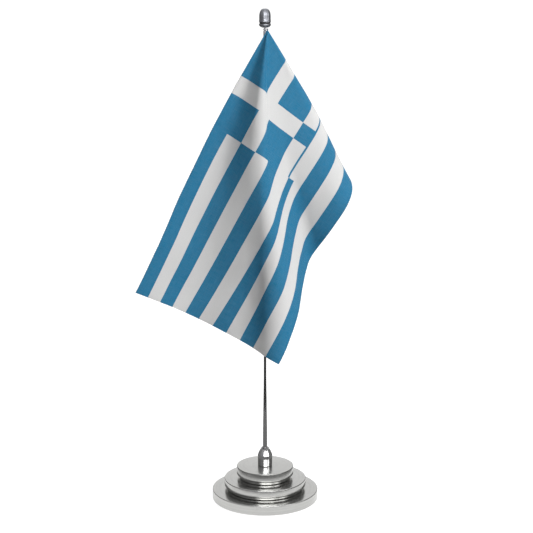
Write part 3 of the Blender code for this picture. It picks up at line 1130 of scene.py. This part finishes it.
    def stitches(self) -> bpy.types.Object:
        """The running stitches of all four hems, front and back.

        Returns:
            The object.
        """
        bm = bmesh.new()
        layer = bm.loops.layers.uv.new("flat")
        for edge in Edge:
            first, last = self.edge_range(edge)
            span = self.drape.length if edge in (Edge.TOP, Edge.LOWER) else self.drape.drop
            count = int(span * (last - first) / self.stitch_pitch)
            for i in range(1, count):
                share = first + (last - first) * i / count
                place = self.edge_spot(edge, share, self.stitch_inset)
                ahead = self.edge_spot(edge, share + 0.001, self.stitch_inset)
                self.stitch(bm, layer, place, ahead)
        return shown("hem_stitches", bm, Finish.FLAG, sharp=180.0)

    def stitch(self, bm: bmesh.types.BMesh, layer: bmesh.types.BMLayerItem, place: Point,
               ahead: Point) -> None:
        """One stitch on each face, in the colour of the cloth below it.

        Args:
            bm: the mesh to add it to.
            layer: its flat coordinates.
            place: the stitch's middle on the flat flag.
            ahead: a place just past it along the seam.
        """
        centre, normal = self.drape.at(*place), self.drape.facing(*place)
        along = (self.drape.at(*ahead) - centre).normalized()
        turn = Matrix((along, normal.cross(along).normalized(), normal)).transposed().to_4x4()
        for lift in (self.thickness / 2, -self.thickness / 2 - 0.2 * MM):
            made = bmesh.ops.create_icosphere(bm, subdivisions=1, radius=1.0)["verts"]
            shape = Matrix.Diagonal((*self.stitch_size, 1.0))
            spot = centre + normal * (lift + self.ripple(*place))
            bmesh.ops.transform(bm, matrix=Matrix.Translation(spot) @ turn @ shape, verts=made)
            for vert in made:
                for loop in vert.link_loops:
                    loop[layer].uv = (place[0] / self.drape.length, place[1] / self.drape.drop)


@dataclass
class Corner(SubAssembly):
    """The eyelet and the sewn tab at the flag's upper corner."""

    body: str = "flag"
    drape: Drape | None = None
    eyelet_hole: float = 0.45 * MM
    eyelet_rim: float = 0.85 * MM
    eyelet_half: float = 0.18 * MM
    tab_foot: float = 1.0 * MM
    tab_top: float = 0.3 * MM
    tab_flatness: float = 0.45

    def build(self) -> None:
        """Build the eyelet and the tab."""
        self.eyelet()
        self.tab()

    def eyelet(self) -> None:
        """A rolled eyelet, its axis along the loop's cord."""
        tip = self.drape.tip
        hole, rim, half = self.eyelet_hole, self.eyelet_rim, self.eyelet_half
        outline = [(hole, -half), (rim * 0.8, -half), (rim, -half * 0.4), (rim, half * 0.4),
                   (rim * 0.8, half), (hole, half)]
        bm = spun(softened(outline, 0.12 * MM), 48)
        turn = Euler((math.pi / 2, 0, math.atan2(tip.y, tip.x))).to_matrix().to_4x4()
        bmesh.ops.transform(bm, matrix=Matrix.Translation(tip) @ turn, verts=bm.verts)
        self.keep(shown("rolled_eyelet", bm, Finish.LACQUER), "plated_eyelet", "corner_eyelet")

    def tab(self) -> None:
        """The gathered binding just under the eyelet."""
        bottom, top, _ = measured("corner_tab")
        bm = bmesh.new()
        bmesh.ops.create_cone(bm, cap_ends=True, segments=24, radius1=self.tab_foot, radius2=self.tab_top,
                              depth=top - bottom)
        bmesh.ops.subdivide_edges(bm, edges=bm.edges, cuts=2, use_grid_fill=True)
        bmesh.ops.scale(bm, vec=(1.0, self.tab_flatness, 1.0), verts=bm.verts)
        layer = bm.loops.layers.uv.new("flat")
        for face in bm.faces:
            for loop in face.loops:
                loop[layer].uv = (loop.vert.co.x / self.drape.length, loop.vert.co.z / self.drape.drop)
        bmesh.ops.translate(bm, vec=middle("corner_tab"), verts=bm.verts)
        self.keep(shown("corner_binding", bm, Finish.BLUE_CLOTH), "flag_fabric", "corner_tab")


@dataclass
class Loop(SubAssembly):
    """The loop of twisted twine round the neck."""

    body: str = "loop"
    strands: int = 3
    twists: int = 16
    steps: int = 144

    def build(self) -> None:
        """Build the loop from strands that wind round its middle line."""
        bottom, top, reach_out = measured("hanging_loop")
        centre = middle("hanging_loop")
        cord = (top - bottom) / 2
        major = reach_out - cord
        strand = cord / 2
        curve = bpy.data.curves.new("twine", "CURVE")
        curve.dimensions = "3D"
        curve.bevel_depth = strand
        curve.bevel_resolution = 2
        for number in range(self.strands):
            spline = curve.splines.new("POLY")
            spline.points.add(self.steps - 1)
            spline.use_cyclic_u = True
            for i, point in enumerate(spline.points):
                turn = 2 * math.pi * i / self.steps
                wind = self.twists * turn + 2 * math.pi * number / self.strands
                reach = major + (cord - strand) * math.cos(wind)
                point.co = (centre.x + reach * math.cos(turn), centre.y + reach * math.sin(turn),
                            centre.z + (cord - strand) * math.sin(wind), 1.0)
        source = placed("twine", curve)
        graph = bpy.context.evaluated_depsgraph_get()
        mesh = bpy.data.meshes.new_from_object(source.evaluated_get(graph))
        bpy.data.objects.remove(source, do_unlink=True)
        mesh.name = "twine_loop"
        mesh.shade_smooth()
        made = placed("twine_loop", mesh)
        Finish.CORD.on(made)
        self.keep(made, "white_cord", "hanging_loop")


# --- studio -------------------------------------------------------------------------------------
@dataclass
class Studio:
    """Floor, light and camera."""

    camera_place: tuple[float, float, float] = (0.0013, -1.4, 0.537)
    camera_pitch: float = 13.01
    camera_lens: float = 111.4
    half_width: float = 7.0
    front: float = -5.0
    wall: float = 3.2
    wall_height: float = 3.6
    sweep: float = 1.2
    near_card: Point = (0.100, 0.280)
    far_card: Point = (0.281, 4.2)
    far_shift: Point = (-2.2, -1.6)
    side_card: Point = (1.6, 3.3)
    side_card_at: tuple[float, float, float] = (1.2, 1.35, 0.81)
    aim_height: float = 0.25

    def build(self) -> None:
        """Build the whole studio."""
        self.backdrop()
        self.cards()
        self.sky()
        self.softbox("key", (1.70, -1.60, 1.1), 1.2, 1.2, 90.0).visible_glossy = False
        self.softbox("top", (0.1, -0.3, 2.2), 1.6, 1.6, 3.0)
        self.softbox("front", (0.3, -2.5, 1.25), 2.4, 1.25, 56.0).visible_diffuse = False
        self.softbox("side", (2.1, -1.6, 1.1), 1.1, 1.25, 14.0).visible_diffuse = False
        self.camera()
        bpy.context.scene.view_settings.view_transform = "Standard"

    def staged(self, name: str, bm: bmesh.types.BMesh, colour: float, glow: float) -> bpy.types.Object:
        """A stage mesh in one neutral tone.

        Args:
            name: its name.
            bm: its mesh, which is freed.
            colour: how pale it is.
            glow: how much light it gives off.

        Returns:
            The object.
        """
        made = placed(name, smooth_mesh(name, bm))
        material, net, shader = fresh_material(name)
        shade = net.noise(net.add("ShaderNodeTexCoord").outputs["Object"], 3.0, 2.0)
        darker, plain = (*[colour * 0.98] * 3, 1.0), (*[colour] * 3, 1.0)
        net.fill(shader, {"Base Color": net.mix(shade, darker, plain), "Roughness": 0.9,
                          "Specular IOR Level": 0.0, "Emission Color": (1.0, 1.0, 1.0, 1.0),
                          "Emission Strength": glow})
        made.data.materials.append(material)
        return made

    def backdrop(self) -> None:
        """A pale floor that curves up into a wall behind the stand."""
        arc = 24
        profile = [(self.front, 0.0)]
        profile += [(self.wall - self.sweep + self.sweep * math.sin(math.pi / 2 * i / arc),
                     self.sweep * (1 - math.cos(math.pi / 2 * i / arc))) for i in range(arc + 1)]
        profile.append((self.wall, self.wall_height))
        bm = bmesh.new()
        verts = [bm.verts.new((-self.half_width, y, z)) for y, z in profile]
        edges = [bm.edges.new(pair) for pair in zip(verts, verts[1:])]
        made = bmesh.ops.extrude_edge_only(bm, edges=edges)["geom"]
        bmesh.ops.translate(bm, vec=(2 * self.half_width, 0, 0),
                            verts=[item for item in made if isinstance(item, bmesh.types.BMVert)])
        self.staged("pale_backdrop", bm, 0.3, 0.94).visible_diffuse = False

    def ring(self, name: str, inner: float, outer: float, shift: Point, glow: float) -> bpy.types.Object:
        """A flat ring on the floor round the stand.

        Args:
            name: its name.
            inner: the radius of its hole, which is round the pole.
            outer: its outer radius.
            shift: where its outer circle's middle is.
            glow: how much light it gives off.

        Returns:
            The object.
        """
        bm = bmesh.new()
        bmesh.ops.create_circle(bm, segments=96, radius=inner)
        far = bmesh.ops.create_circle(bm, segments=96, radius=outer)["verts"]
        bmesh.ops.translate(bm, vec=(*shift, 0.0), verts=far)
        bmesh.ops.bridge_loops(bm, edges=list(bm.edges))
        bmesh.ops.translate(bm, vec=(0.0, 0.0, 0.001), verts=list(bm.verts))
        return self.staged(name, bm, 0.02, glow)

    def cards(self) -> None:
        """Dark cards that only polished metal mirrors: two rings on the floor, and one at each side."""
        cards = [self.ring("near_card", *self.near_card, (0.0, 0.0), 0.17),
                 self.ring("far_card", *self.far_card, self.far_shift, 0.02)]
        reach, back, up = self.side_card_at
        for name, x in (("left_card", -reach), ("right_card", reach)):
            bm = bmesh.new()
            bmesh.ops.create_grid(bm, x_segments=1, y_segments=1, size=0.5)
            bmesh.ops.scale(bm, vec=(*self.side_card, 1.0), verts=bm.verts)
            bmesh.ops.rotate(bm, matrix=Matrix.Rotation(math.pi / 2, 3, "Y"), verts=bm.verts)
            bmesh.ops.translate(bm, vec=(x, back, up), verts=bm.verts)
            cards.append(self.staged(name, bm, 0.04, 0.18))
        for card in cards:
            card.visible_camera = card.visible_diffuse = card.visible_shadow = False

    def sky(self) -> None:
        """A soft surround: white where it is seen or lies behind, grey in front, dimmer low at the left."""
        world = bpy.data.worlds.new("studio")
        world.use_nodes = True
        bpy.context.scene.world = world
        net = Net(world.node_tree)
        background = world.node_tree.nodes["Background"]
        side, back, up = net.split(net.add("ShaderNodeTexCoord").outputs["Generated"])
        low = net.remap(net.math("ABSOLUTE", up), 0.25, 0.65, 1.0, 0.0, smooth=True)
        left = net.remap(side, -0.55, -0.25, 1.0, 0.0, smooth=True)
        behind = net.remap(back, -0.10, 0.35, 0.0, 1.0, smooth=True)
        tone = net.mix(net.times(low, left), (0.40, 0.40, 0.41, 1.0), (0.28, 0.28, 0.29, 1.0))
        path = net.add("ShaderNodeLightPath").outputs
        tone = net.mix(path["Is Diffuse Ray"], tone, (0.06, 0.06, 0.065, 1.0))
        seen = net.math("MAXIMUM", behind, path["Is Camera Ray"])
        tone = net.mix(seen, tone, (1.0, 1.0, 1.0, 1.0))
        net.fill(background, {"Color": tone, "Strength": 1.0})

    def softbox(self, name: str, place: tuple[float, float, float], width: float, height: float,
                power: float) -> bpy.types.Object:
        """One soft light that looks at the middle of the stand.

        Args:
            name: its name.
            place: where it stands.
            width: its width.
            height: its height.
            power: its power in watts.

        Returns:
            The light.
        """
        data = bpy.data.lights.new(name, "AREA")
        data.shape = "RECTANGLE"
        data.size, data.size_y = width, height
        data.energy = power
        light = placed(name, data)
        light.location = place
        aim = Vector((0.0, 0.0, self.aim_height)) - Vector(place)
        light.rotation_euler = aim.to_track_quat("-Z", "Y").to_euler()
        return light

    def camera(self) -> None:
        """The camera, in front of the stand and a little above it, looking slightly down."""
        data = bpy.data.cameras.new("camera")
        data.lens = self.camera_lens
        camera = placed("camera", data)
        camera.location = self.camera_place
        camera.rotation_euler = Euler((math.radians(90 - self.camera_pitch), 0.0, 0.0))
        bpy.context.scene.camera = camera


def main() -> None:
    """Build every sub-assembly in order, then the studio, and log how many pieces each has."""
    logging.basicConfig(level=logging.INFO, format="%(message)s")
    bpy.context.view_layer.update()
    drape = Drape(tip=middle("corner_eyelet"))
    parts = [Base(), PoleSocket(), Bush(), Pole(), Clamp(), Cap(), Loop(), Corner(drape=drape),
             Flag(drape=drape)]
    for part in parts:
        part.build()
        LOG.info("%s: %d pieces", type(part).__name__, len(part.made))
    Studio().build()


if __name__ == "__main__":
    main()
